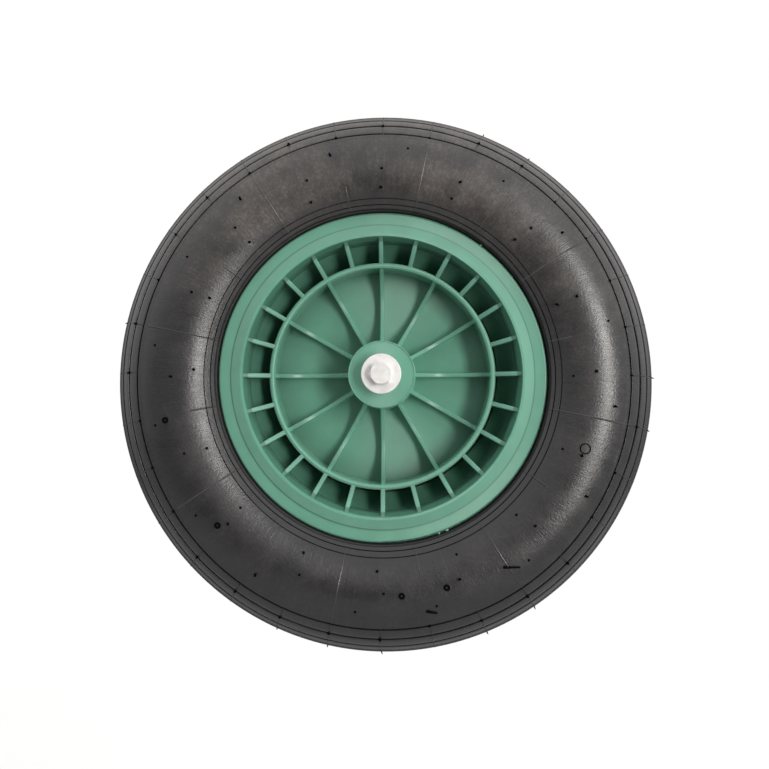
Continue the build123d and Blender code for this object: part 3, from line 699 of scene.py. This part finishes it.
class WHEEL_OT_stage(bpy.types.Operator):
    """Set up the floor, the lights and the camera"""

    bl_idname = "wheel.stage"
    bl_label = "Studio"

    # Heights between which the sides and the room get brighter in reflections, from -1 below to 1 above
    side_heights = -0.5, 0.25
    room_heights = -0.2, 0.35

    def execute(self, context):
        stage = context.scene.wheel_stage
        scene = context.scene
        scene.view_settings.view_transform = "Standard"

        mesh = bpy.data.meshes.new("floor")
        work = bmesh.new()
        bmesh.ops.create_grid(work, x_segments=1, y_segments=1, size=stage.floor_size)
        bmesh.ops.translate(work, verts=work.verts, vec=(0, 0, CAD_BOX[0][2] - stage.floor_drop))
        work.to_mesh(mesh)
        work.free()
        floor = bpy.data.objects.new("floor", mesh)
        scene.collection.objects.link(floor)
        mesh.materials.append(self.floor_finish(stage))
        self.world(scene, stage)

        self.lamp(scene, "key", outward(stage.key_side, stage.key_height) * stage.key_distance,
                  (stage.key_size, stage.key_tall), stage.key_power, stage.key_colour)
        back = self.lamp(scene, "back", outward(stage.back_side, stage.back_height) * stage.key_distance,
                         (stage.back_size, stage.back_size), stage.back_power, stage.key_colour)
        back.visible_glossy = False

        lens = bpy.data.cameras.new("camera")
        lens.lens = lens.sensor_width * stage.view_focal
        camera = bpy.data.objects.new("camera", lens)
        scene.collection.objects.link(camera)
        camera.location = outward(stage.view_right, -stage.view_below) * stage.view_distance
        turn = outward(stage.aim_right, -stage.aim_below).to_track_quat("Z", "Y").to_matrix()
        turn = turn @ Matrix.Rotation(-stage.view_roll, 3, "Z")
        camera.rotation_euler = turn.to_euler()
        seen = turn.transposed() @ -camera.location
        lens.shift_x = stage.view_focal * seen.x / -seen.z - stage.centre_right
        lens.shift_y = stage.view_focal * seen.y / -seen.z - stage.centre_up
        scene.camera = camera
        return {"FINISHED"}

    def lamp(self, scene, name, place, size, power, tint):
        """A soft lamp that faces the wheel."""
        light = bpy.data.lights.new(name, "AREA")
        light.shape = "ELLIPSE"
        light.size, light.size_y = size
        light.energy = power
        light.color = tint
        lamp = bpy.data.objects.new(name, light)
        scene.collection.objects.link(lamp)
        lamp.location = place
        lamp.rotation_euler = place.to_track_quat("Z", "Y").to_euler()
        lamp.visible_camera = False
        return lamp

    def background_rays(self, tree):
        """Masks of the rays that see the background from the camera, and of those that mirror it."""
        path = put(tree, "ShaderNodeLightPath").outputs
        return path["Is Camera Ray"], calculate(tree, "MAXIMUM", path["Is Glossy Ray"], path["Is Transmission Ray"])

    def floor_finish(self, stage):
        """Pale floor that looks white and keeps a soft shadow."""
        material = bpy.data.materials.new("floor_pale")
        material.use_nodes = True
        tree = material.node_tree
        shader = tree.nodes["Principled BSDF"]
        shader.inputs["Base Color"].default_value = scaled(stage.floor_colour)
        shader.inputs["Roughness"].default_value = 0.9
        camera, mirrored = self.background_rays(tree)
        glow = plus(tree, times(tree, camera, stage.floor_glow), times(tree, mirrored, stage.floor_mirrored))
        white = put(tree, "ShaderNodeEmission", {"Strength": glow})
        both = put(tree, "ShaderNodeAddShader", {0: shader.outputs[0], 1: white.outputs[0]})
        tree.links.new(both.outputs[0], tree.nodes["Material Output"].inputs["Surface"])
        return material

    def world(self, scene, stage):
        """White surroundings, with a darker room ahead of the wheel and behind it."""
        world = bpy.data.worlds.new("studio")
        scene.world = world
        world.use_nodes = True
        tree = world.node_tree
        background = tree.nodes["Background"]
        background.inputs["Color"].default_value = (1.0, 1.0, 1.0, 1.0)
        camera, mirrored = self.background_rays(tree)
        toward = put(tree, "ShaderNodeTexCoord").outputs["Generated"]
        right, back, up = put(tree, "ShaderNodeSeparateXYZ", {0: toward}).outputs
        ahead = put(tree, "ShaderNodeMapRange", {
            "Value": calculate(tree, "ABSOLUTE", back),
            "From Min": stage.front_edge, "From Max": stage.front_edge + stage.front_blend},
            interpolation_type="SMOOTHSTEP").outputs["Result"]
        gain = plus(tree, times(tree, right, stage.right_gain), times(tree, up, stage.upper_gain))
        side = remap(tree, gain, 0.0, 2 * stage.side_level, -1.0, 1.0)
        light = between(tree, ahead, side, stage.front_level)
        mirrored_side = remap(tree, up, stage.side_low, stage.side_high, *self.side_heights)
        mirrored_room = remap(tree, up, stage.front_low, stage.front_high, *self.room_heights)
        mirror = between(tree, ahead, mirrored_side, mirrored_room)
        level = between(tree, camera, between(tree, mirrored, light, mirror), 1.0)
        tree.links.new(level, background.inputs["Strength"])


class WHEEL_OT_tyre(bpy.types.Operator):
    """Model the tyre: grooved crown, round sidewalls, stepped feet and beads"""

    bl_idname = "wheel.tyre"
    bl_label = "Tyre"

    # Slot at the flange: its rounding begins this far inside the flange's radius, and its last point lies this far
    # below the sidewall's foot and this far outside the rounding's middle, in millimetres
    slot_inset, slot_drop, slot_out = 1.5, 0.1, 0.4
    cavity_steps = 28

    def execute(self, context):
        tyre = context.scene.wheel_tyre
        work = bmesh.new()
        section = Outline(work, tyre.seat_radius, tyre.bead_width - tyre.seat_half)
        foot = self.foot(tyre)
        for radius, along in foot:
            section.line(radius, -along)
        edges = self.crown(section, tyre)
        for radius, along in reversed(foot[:-1]):
            section.line(radius, along)
        section.line(tyre.seat_radius, tyre.seat_half - tyre.bead_width)
        self.cavity(section, tyre)
        bmesh.ops.bevel(
            work, geom=edges, offset=tyre.rib_round, offset_type="OFFSET", affect="VERTICES",
            segments=2, profile=0.5, material=-1)
        revolve(work, tyre.steps)
        finish = tyre_finish(context.scene.wheel_finish)
        piece("tyre_rubber", work, "wheel", "tyre_rubber", finish, "tyre")
        return {"FINISHED"}

    def polar(self, tyre, slope, lift=0.0):
        """Point of the section at an angle from the tread's middle, towards the rear where positive."""
        reach = tyre.section_radius + lift
        return section_centre(tyre) + reach * math.cos(slope), reach * math.sin(slope)

    def slope_at(self, tyre, radius, lift):
        """Angle at which the section, lifted by a height, has a radius."""
        return math.acos((radius - section_centre(tyre)) / (tyre.section_radius + lift))

    def foot(self, tyre):
        """Points of the bead, the slot at the flange and the two grooved steps, from the toe to the sidewall."""
        inner, middle = tyre.flange_radius - self.slot_inset * MM, tyre.seat_half + tyre.flange_round
        points = [
            (tyre.seat_radius, tyre.seat_half - tyre.heel_round),
            (tyre.seat_radius + tyre.heel_round, tyre.seat_half),
            (inner, tyre.seat_half),
        ]
        for step in range(1, 5):
            turn = step * TURN / 16
            points.append((inner + tyre.flange_round * math.sin(turn), middle - tyre.flange_round * math.cos(turn)))
        points.append((tyre.foot_radius - self.slot_drop * MM, middle + self.slot_out * MM))
        low = tyre.foot_radius
        for lift, high in (
                (tyre.step_height * 2, tyre.inner_step_radius), (tyre.step_height, tyre.outer_step_radius)):
            for radius in (low, (low + high) / 2, high):
                points.append(self.polar(tyre, self.slope_at(tyre, radius, lift), lift))
            low = high + tyre.bead_groove
            for radius in (high, low):
                slope = self.slope_at(tyre, radius, -tyre.bead_groove)
                points.append(self.polar(tyre, slope, -tyre.bead_groove))
        points.append(self.polar(tyre, self.slope_at(tyre, low, 0.0)))
        return points

    def crown(self, section, tyre):
        """Sidewalls and tread, from the front foot to the rear foot. Gives back the ribs' edges."""
        centre = section_centre(tyre)
        half = math.asin(tyre.groove_width / 2 / tyre.section_radius)
        floor = tyre.section_radius - tyre.groove_depth
        now = -self.slope_at(tyre, tyre.outer_step_radius + tyre.bead_groove, 0.0)
        end = -now
        edges = []
        for index in range(tyre.groove_count):
            middle = (index - (tyre.groove_count - 1) / 2) * tyre.groove_pitch
            lip = tyre.tread_lip if index == 0 else 0.0
            turn = middle - half - now - (LIP_SLOPE if lip else 0.0)
            edge = section.arc(centre, 0.0, turn, max(3, round(turn / ARC_STEP)))
            if lip:
                edge = section.line(*self.polar(tyre, middle - half, lip))
            edges.append(edge)
            for side in (-1, 1):
                across = side * tyre.groove_width / 2
                section.line(
                    centre + floor * math.cos(middle) - across * math.sin(middle),
                    floor * math.sin(middle) + across * math.cos(middle))
            lip = tyre.tread_lip if index == tyre.groove_count - 1 else 0.0
            edges.append(section.line(*self.polar(tyre, middle + half, lip)))
            now = middle + half
            if lip:
                now += LIP_SLOPE
                section.line(*self.polar(tyre, now))
        section.arc(centre, 0.0, end - now, round((end - now) / ARC_STEP))
        return edges

    def cavity(self, section, tyre):
        """Inner side, from the rear bead round the tube's space to the front bead."""
        toe = tyre.seat_radius + tyre.toe_height
        slope = math.acos((tyre.cavity_foot - tyre.cavity_centre) / tyre.cavity_radius)
        neck = tyre.seat_half - tyre.neck_wall
        section.line(toe, tyre.seat_half - tyre.bead_width)
        section.line(tyre.foot_radius, neck)
        section.line(tyre.cavity_foot, tyre.cavity_radius * math.sin(slope))
        section.arc(tyre.cavity_centre, 0.0, -2 * slope, self.cavity_steps)
        section.line(tyre.foot_radius, -neck)
        section.line(toe, tyre.bead_width - tyre.seat_half)
        section.close()


class WHEEL_OT_mould_marks(bpy.types.Operator):
    """Add the lines, seams, vents and ring marks that the mould leaves on the tyre"""

    bl_idname = "wheel.mould_marks"
    bl_label = "Mould Marks"

    # Rows of vents on a sidewall: angle round the section, and angles after each long mould line, in degrees
    vent_rows = ((74.0, (4.6, 24.9)), (91.5, (-11.6, 11.6)), (108.5, (-11.2, 11.0)))
    # Bent hairs: angles round the wheel and round the section of both ends, in degrees
    lying_hairs = (((302.0, 83.0), (305.4, 75.3)), ((280.4, 72.6), (282.8, 69.0)))
    # Ring marks: angles round the wheel and round the section, in degrees
    ring_marks = ((191.7, 82.8), (222.3, 84.1), (274.9, 87.6), (286.7, 87.4))
    wide_marks = ((339.5, 90.0),)
    # Most that a vent leans either way, in radians, and that it strays round the wheel and the section, in degrees
    most_lean = 0.35
    turn_stray, slope_stray = 1.0, 1.5
    # Heights of the stubs on the sidewalls, on the tread's edge and of the hairs, as parts of the full height
    stub_heights = 0.25, 0.9, 1.3
    edge_heights = 0.4, 0.8
    hair_heights = 0.3, 1.2
    # Width of their tips as a part of their roots' width, and how much of their height is sunk in the rubber
    stub_taper, edge_taper, hair_taper = 0.75, 0.8, 0.3
    lying_root, lying_tip = 1.3, 0.6
    sunk = 0.2
    # Sides of a vent, sides of a ring mark's section and steps of the mesh round it
    vent_sides, wire_sides, ring_steps = 8, 6, 16

    def execute(self, context):
        tyre = context.scene.wheel_tyre
        mould = context.scene.wheel_mould
        finish = bpy.data.objects["tyre_rubber"].active_material
        self.lines(tyre, mould, finish)
        self.seams(tyre, mould, finish)
        # Stubs, hairs and ring marks get a black darker than the tyre's, with almost no gloss: painted shade.
        black = plain_finish("vent_rubber", context.scene.wheel_finish.vent_black, 0.8, specular=0.03)
        self.vents(tyre, mould, black)
        self.rings(tyre, mould, black)
        return {"FINISHED"}

    def turns(self, mould, times_round):
        """Angles of marks that stand evenly round the wheel."""
        return [mould.first_line + index * TURN / times_round for index in range(times_round)]

    def lines(self, tyre, mould, finish):
        """Long and short lines by turns, on both sidewalls."""
        work = bmesh.new()
        for index, turn in enumerate(self.turns(mould, 2 * mould.line_count)):
            end = mould.short_end if index % 2 else mould.long_end
            for side in (1, -1):
                for low, high, lift in (
                        (mould.line_start, end, 0.0), (mould.band_start, mould.line_start, tyre.step_height),
                        (mould.foot_start, mould.band_start, tyre.step_height * 2)):
                    raised_line(work, tyre, turn, side * low, side * high,
                                mould.line_width, mould.line_height, mould.line_root, lift)
        piece("mould_lines", work, "wheel", "tyre_rubber", finish)

    def seams(self, tyre, mould, finish):
        """Thin seams across the whole tread."""
        work = bmesh.new()
        for turn in self.turns(mould, mould.seam_count):
            raised_line(work, tyre, turn, mould.seam_end, -mould.seam_end,
                        mould.seam_width, mould.seam_height, tyre.groove_depth)
        piece("tread_seams", work, "wheel", "tyre_rubber", finish)

    def vents(self, tyre, mould, finish):
        """Stubs on the sidewalls and at the seams' ends, and hairs on the tread."""
        draw = random.Random(11)
        work = bmesh.new()
        for slope, after in self.vent_rows:
            for line in self.turns(mould, mould.line_count):
                for extra in after:
                    for side in (1, -1):
                        turn = line + math.radians(extra + draw.uniform(-self.turn_stray, self.turn_stray))
                        place = slope + draw.uniform(-self.slope_stray, self.slope_stray)
                        height = mould.stub_height * draw.choice(self.stub_heights)
                        self.vent(work, tyre, turn, side * math.radians(place), mould.stub_radius, height,
                                  self.stub_taper, draw)
        last = (tyre.groove_count - 1) / 2 * tyre.groove_pitch
        for turn in self.turns(mould, mould.seam_count):
            for side in (1, -1):
                slope = side * (last + draw.choice((0.0, -tyre.groove_pitch)))
                height = mould.stub_height * draw.uniform(*self.edge_heights)
                self.vent(work, tyre, turn, slope, mould.stub_radius, height, self.edge_taper, draw)
            slope = draw.choice((-0.5, 0.5)) * tyre.groove_pitch
            height = mould.hair_length * draw.uniform(*self.hair_heights)
            self.vent(work, tyre, turn, slope, mould.hair_radius, height, self.hair_taper, draw)
        for start, end in self.lying_hairs:
            self.lying_hair(work, tyre, mould, start, end)
        piece("vents", work, "wheel", "tyre_rubber", finish)

    def lying_hair(self, work, tyre, mould, start, end):
        """A hair that is bent over and lies along the sidewall."""
        root, tip = (
            on_tyre(tyre, math.radians(turn), math.radians(slope), mould.hair_radius).translation
            for turn, slope in (start, end))
        run = tip - root
        stand = Matrix.Translation((root + tip) / 2) @ run.to_track_quat("Z", "Y").to_matrix().to_4x4()
        bmesh.ops.create_cone(
            work, cap_ends=True, segments=self.vent_sides, radius1=mould.hair_radius * self.lying_root,
            radius2=mould.hair_radius * self.lying_tip, depth=run.length, matrix=stand)

    def vent(self, work, tyre, turn, slope, radius, height, taper, draw):
        """One stub or hair, leaning a little."""
        sideways = Matrix.Rotation(draw.uniform(-self.most_lean, self.most_lean), 4, "X")
        lean = sideways @ Matrix.Rotation(draw.uniform(-self.most_lean, self.most_lean), 4, "Y")
        middle = height * (1 - self.sunk) / 2
        stand = on_tyre(tyre, turn, slope) @ lean @ Matrix.Translation((0.0, 0.0, middle))
        bmesh.ops.create_cone(
            work, cap_ends=True, segments=self.vent_sides, radius1=radius, radius2=radius * taper,
            depth=height * (1 + self.sunk), matrix=stand)

    def rings(self, tyre, mould, finish):
        """Small raised rings."""
        work = bmesh.new()
        small = [(*mark, mould.ring_radius, mould.ring_wire) for mark in self.ring_marks]
        wide = [(*mark, mould.wide_radius, mould.wide_wire) for mark in self.wide_marks]
        for turn, slope, radius, wire in small + wide:
            drawing = bmesh.new()
            bmesh.ops.create_circle(drawing, segments=self.wire_sides, radius=wire)
            bmesh.ops.translate(drawing, verts=drawing.verts, vec=(radius, 0.0, 0.0))
            revolve(drawing, self.ring_steps)
            bmesh.ops.rotate(drawing, verts=drawing.verts, cent=(0, 0, 0), matrix=Matrix.Rotation(TURN / 4, 3, "X"))
            stand = on_tyre(tyre, math.radians(turn), math.radians(slope))
            bmesh.ops.transform(drawing, verts=drawing.verts, matrix=stand)
            join(work, drawing)
        piece("vent_rings", work, "wheel", "tyre_rubber", finish)


class WHEEL_OT_rim(bpy.types.Operator):
    """Finish the rim and add the flash left on its flange"""

    bl_idname = "wheel.rim"
    bl_label = "Rim"

    # Flash: angle round the wheel in degrees, and length along the flange in millimetres
    flash = ((289.5, 1.6), (292.4, 2.2), (52.0, 1.4))
    # Its distance from the middle plane, its height over the flange and its thickness in millimetres, and the
    # radius of the ball that these sizes stretch
    flash_front, flash_rise, flash_thick = 34.2, 1.8, 0.5
    flash_ball = 0.6
    # Rounded edges of the middle ring and the hub: radii and distance from the middle plane in millimetres
    edges = ((79.3, 82.2, 27.5), (23.3, 24.1, 40.0))
    edge_rise = 0.6
    edge_steps = 144
    edge_shape = ((0.02, 0.1), (0.15, 0.6), (0.35, 0.93), (0.65, 0.93), (0.85, 0.6), (0.98, 0.1), (1.0, -1.0))

    def execute(self, context):
        tyre = context.scene.wheel_tyre
        finish = rim_finish(context.scene.wheel_finish)
        give(finish, "rim")
        work = bmesh.new()
        for turn, wide in self.flash:
            place = Matrix.Translation((tyre.flange_radius, -self.flash_front * MM, 0.0))
            size = Matrix.Diagonal((self.flash_rise * MM, self.flash_thick * MM, wide * MM, 1.0))
            bmesh.ops.create_icosphere(
                work, subdivisions=1, radius=self.flash_ball, matrix=turned(math.radians(turn)) @ place @ size)
        piece("rim_flash", work, "wheel", "rim_plastic", finish)

        work = bmesh.new()
        for low, high, front in self.edges:
            for side in (-1, 1):
                drawing = bmesh.new()
                wide, rise = (high - low) * MM, self.edge_rise * MM
                section = Outline(drawing, low * MM, side * (front * MM - rise))
                for across, up in self.edge_shape:
                    section.line(low * MM + across * wide, side * (front * MM + up * rise))
                section.close()
                revolve(drawing, self.edge_steps)
                join(work, drawing)
        piece("rim_edges", work, "wheel", "rim_plastic", finish, sharp=60.0)
        return {"FINISHED"}


class WHEEL_OT_axle(bpy.types.Operator):
    """Model the axle bolt with its thread, and finish the pieces on it"""

    bl_idname = "wheel.axle"
    bl_label = "Axle"

    # Steps of the mesh in a side of the head and in a turn of the thread
    corner_steps = 8
    thread_steps = 24
    # The head's round top as a part of its half width, and its blunted corners as a part of the sharp ones
    crown_part = 0.95
    corner_part = 0.99

    def execute(self, context):
        axle = context.scene.wheel_axle
        colours = context.scene.wheel_finish
        zinc = zinc_finish(colours)
        give(zinc, "front_washer", "rear_washer", "axle_nut")
        nylon = plain_finish("nylon_white", colours.nylon_white, 0.45, spread=0.05)
        give(nylon, "nut_insert", "hub_bush_front", "hub_bush_rear")
        give(plain_finish("drawn_steel", colours.steel_grey, 0.35, metallic=1.0, grain=900.0), "axle_sleeve")

        work = bmesh.new()
        helix_thread(work, axle.shank_radius, axle.thread_depth, axle.thread_start, axle.thread_end,
                     axle.thread_pitch, self.thread_steps)
        self.chamfer(work, axle)
        close_ends(work)
        self.body(work, axle)
        piece("axle_bolt_threaded", work, "axle", "zinc_steel", zinc, "axle_bolt", sharp=28.0)
        return {"FINISHED"}

    def chamfer(self, work, axle):
        """Draw the thread's end in to a cone."""
        for vert in work.verts:
            most = axle.shank_radius - max(0.0, vert.co.y - (axle.thread_end - axle.end_chamfer))
            reach = math.hypot(vert.co.x, vert.co.z)
            if reach > most:
                vert.co.x *= most / reach
                vert.co.z *= most / reach

    def body(self, work, axle):
        """Neck, shank and head, grown ring by ring towards the front."""
        apothem = axle.head_width / 2
        crown = apothem * self.crown_part
        top = -axle.washer_face - axle.head_height
        corner = apothem / math.cos(TURN / 12) * self.corner_part

        def hexagon(turn):
            beside = (turn - axle.head_turn) % (TURN / 6) - TURN / 12
            return min(corner, apothem / math.cos(beside))

        def lowered(turn):
            return top + (hexagon(turn) - crown) * math.tan(TURN / 12)

        rings = (
            (axle.neck_radius, axle.washer_face), (axle.shank_radius, axle.washer_face),
            (axle.shank_radius, -axle.washer_face), (hexagon, -axle.washer_face), (hexagon, lowered), (crown, top),
        )
        drawing = bmesh.new()
        bmesh.ops.create_circle(
            drawing, cap_ends=True, segments=6 * self.corner_steps, radius=axle.neck_radius)
        bmesh.ops.rotate(
            drawing, verts=drawing.verts, cent=(0, 0, 0),
            matrix=Matrix.Rotation(-axle.head_turn, 3, "Y") @ Matrix.Rotation(TURN / 4, 3, "X"))
        bmesh.ops.translate(drawing, verts=drawing.verts, vec=(0.0, axle.thread_start, 0.0))
        edges = drawing.edges[:]
        for radius, place in rings:
            made = bmesh.ops.extrude_edge_only(drawing, edges=edges)["geom"]
            edges = [part for part in made if isinstance(part, bmesh.types.BMEdge)]
            for vert in (part for part in made if isinstance(part, bmesh.types.BMVert)):
                turn = math.atan2(vert.co.z, vert.co.x)
                reach = radius(turn) if callable(radius) else radius
                along = place(turn) if callable(place) else place
                vert.co = (reach * math.cos(turn), along, reach * math.sin(turn))
            edges = [edge for edge in edges if edge.is_boundary]
        close_ends(drawing)
        join(work, drawing)


class WHEEL_OT_valve(bpy.types.Operator):
    """Model the valve's threaded tube and its spring, and finish the pieces round them"""

    bl_idname = "wheel.valve"
    bl_label = "Valve"

    # Steps of the mesh in a turn of the thread and in a turn of the spring
    thread_steps = 20
    coil_steps = 18
    wire_sides = 8
    # The tube stays this far inside the thread's root until the two are bridged, in millimetres
    root_gap = 0.05

    def execute(self, context):
        valve = context.scene.wheel_valve
        colours = context.scene.wheel_finish
        brass = plain_finish("valve_brass", colours.brass_yellow, 0.3, metallic=1.0, blotch=160.0, grain=2400.0)
        rubber = plain_finish("tube_rubber", colours.tube_black, 0.55, grain=1100.0, relief=0.1)
        wire = plain_finish("spring_wire", colours.steel_grey, 0.3, metallic=1.0, grain=3000.0)
        give(brass, "valve_core", "valve_pin")
        give(rubber, "inner_tube", "valve_stem", "valve_seal")
        give(plain_finish("cap_plastic", colours.cap_black, 0.4, grain=1600.0), "valve_cap")
        give(wire, "bead_wire_front", "bead_wire_rear")
        place = turned(valve.place_turn).to_3x3() @ Vector((valve.place_radius, 0.0, 0.0))

        work = bmesh.new()
        helix_thread(work, valve.thread_radius, valve.thread_depth, valve.thread_start, valve.thread_end,
                     valve.thread_pitch, self.thread_steps)
        self.tube(work, valve)
        for end in (valve.thread_start, valve.thread_end):
            bmesh.ops.bridge_loops(work, edges=[
                edge for edge in work.edges
                if edge.is_boundary and all(abs(vert.co.y - end) < MERGE_DISTANCE for vert in edge.verts)])
        bmesh.ops.translate(work, verts=work.verts, vec=place)
        piece("valve_tube", work, "wheel", "valve_brass", brass, "valve_insert")

        work = bmesh.new()
        rise = valve.spring_end - valve.spring_start - 2 * valve.spring_wire
        bmesh.ops.create_circle(work, segments=self.wire_sides, radius=valve.spring_wire)
        bmesh.ops.translate(
            work, verts=work.verts, vec=(valve.spring_radius, valve.spring_start + valve.spring_wire, 0.0))
        screw(work, valve.spring_turns, self.coil_steps, rise / valve.spring_turns)
        close_ends(work)
        bmesh.ops.translate(work, verts=work.verts, vec=place)
        coil = piece("valve_coil", work, "wheel", "spring_steel", wire, "valve_spring")
        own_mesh(coil)
        return {"FINISHED"}

    def tube(self, work, valve):
        """The tube inside the thread, drawn from the thread's start round through the bore to its end."""
        drawing = bmesh.new()
        root = valve.thread_radius - valve.thread_depth - self.root_gap * MM
        section = Outline(drawing, root, valve.thread_start)
        for point in (
                (valve.tube_radius, valve.thread_start), (valve.tube_radius, valve.tube_start),
                (valve.air_bore, valve.tube_start), (valve.air_bore, valve.core_floor),
                (valve.core_bore, valve.core_floor), (valve.core_bore, valve.head_floor),
                (valve.head_bore, valve.head_floor), (valve.head_bore, valve.thread_end),
                (root, valve.thread_end)):
            section.line(*point)
        revolve(drawing, self.thread_steps)
        join(work, drawing)


class WHEEL_PT_sidebar(bpy.types.Panel):
    """Operators and settings of the wheel"""

    bl_label = "Wheelbarrow Wheel"
    bl_idname = "WHEEL_PT_sidebar"
    bl_space_type = "VIEW_3D"
    bl_region_type = "UI"
    bl_category = "Wheel"

    def draw(self, context):
        for operator, settings in STEPS:
            box = self.layout.box()
            box.operator(operator.bl_idname)
            for group in settings:
                owner = getattr(context.scene, group)
                for name in owner.__annotations__:
                    box.prop(owner, name)


SETTINGS = {
    "wheel_stage": WheelStageSettings,
    "wheel_tyre": WheelTyreSettings,
    "wheel_mould": WheelMouldSettings,
    "wheel_axle": WheelAxleSettings,
    "wheel_valve": WheelValveSettings,
    "wheel_finish": WheelFinishSettings,
}
STEPS = (
    (WHEEL_OT_stage, ("wheel_stage",)),
    (WHEEL_OT_tyre, ("wheel_tyre",)),
    (WHEEL_OT_mould_marks, ("wheel_mould",)),
    (WHEEL_OT_rim, ("wheel_finish",)),
    (WHEEL_OT_axle, ("wheel_axle",)),
    (WHEEL_OT_valve, ("wheel_valve",)),
)
CLASSES = (*SETTINGS.values(), *(operator for operator, settings in STEPS), WHEEL_PT_sidebar)


def register():
    for each in CLASSES:
        bpy.utils.register_class(each)
    for name, group in SETTINGS.items():
        setattr(bpy.types.Scene, name, PointerProperty(type=group))


def unregister():
    for name in SETTINGS:
        delattr(bpy.types.Scene, name)
    for each in reversed(CLASSES):
        bpy.utils.unregister_class(each)


def main():
    register()
    bpy.ops.wheel.stage()
    bpy.ops.wheel.tyre()
    bpy.ops.wheel.mould_marks()
    bpy.ops.wheel.rim()
    bpy.ops.wheel.axle()
    bpy.ops.wheel.valve()


if __name__ == "__main__":
    main()
